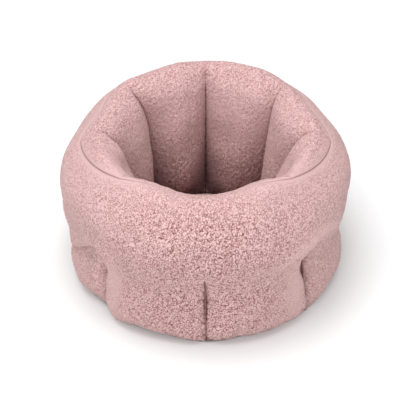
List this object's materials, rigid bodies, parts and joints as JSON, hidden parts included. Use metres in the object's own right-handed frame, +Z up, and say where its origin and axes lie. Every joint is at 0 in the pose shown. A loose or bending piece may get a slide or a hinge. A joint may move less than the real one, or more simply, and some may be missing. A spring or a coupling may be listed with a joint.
{
  "type": "pet cushion bed",
  "caption": "Deep round cuddler bed for a cat or small dog: a high stuffed wall of puffed chambers in nubby pink teddy fleece round a well with a loose seat cushion.",
  "frame": {"origin": "middle of the flat underside of the base cover", "axes": "+Z up, the front towards -Y, +X to the right as seen from the front"},
  "size_m": [0.4968, 0.4966, 0.2869],
  "materials": {
    "fleece": "nubby teddy fleece pile",
    "seam_thread": "spun polyester thread",
    "fibre_fill": "lofted polyester fibre",
    "grip_cloth": "woven non-slip cloth with moulded dots",
    "felt_pad": "needled felt",
    "satin_tape": "satin woven tape"
  },
  "bodies": {
    "bed": {"outer_sleeve": "fleece", "floor_lining": "fleece", "lining_petal_1": "fleece", "lining_petal_2": "fleece", "lining_petal_3": "fleece", "lining_petal_4": "fleece", "lining_petal_5": "fleece", "lining_petal_6": "fleece", "lining_petal_7": "fleece", "lining_petal_8": "fleece", "rim_seam": "seam_thread", "chamber_seam_1": "seam_thread", "chamber_seam_2": "seam_thread", "chamber_seam_3": "seam_thread", "chamber_seam_4": "seam_thread", "chamber_seam_5": "seam_thread", "chamber_seam_6": "seam_thread", "chamber_seam_7": "seam_thread", "chamber_seam_8": "seam_thread", "wall_fill_1": "fibre_fill", "wall_fill_2": "fibre_fill", "wall_fill_3": "fibre_fill", "wall_fill_4": "fibre_fill", "wall_fill_5": "fibre_fill", "wall_fill_6": "fibre_fill", "wall_fill_7": "fibre_fill", "wall_fill_8": "fibre_fill", "base_cover": "grip_cloth", "base_binding": "grip_cloth", "base_pad": "felt_pad", "care_label": "satin_tape"},
    "seat_cushion": {"cushion_cover_top": "fleece", "cushion_cover_bottom": "fleece", "cushion_edge_seam": "seam_thread", "cushion_fill": "fibre_fill"}
  },
  "joints": [
    {"name": "cushion_lift_out", "type": "slide", "parent": "bed", "child": "seat_cushion", "axis": [0, 0, 1], "range_m": [0, 0.3]}
  ]
}
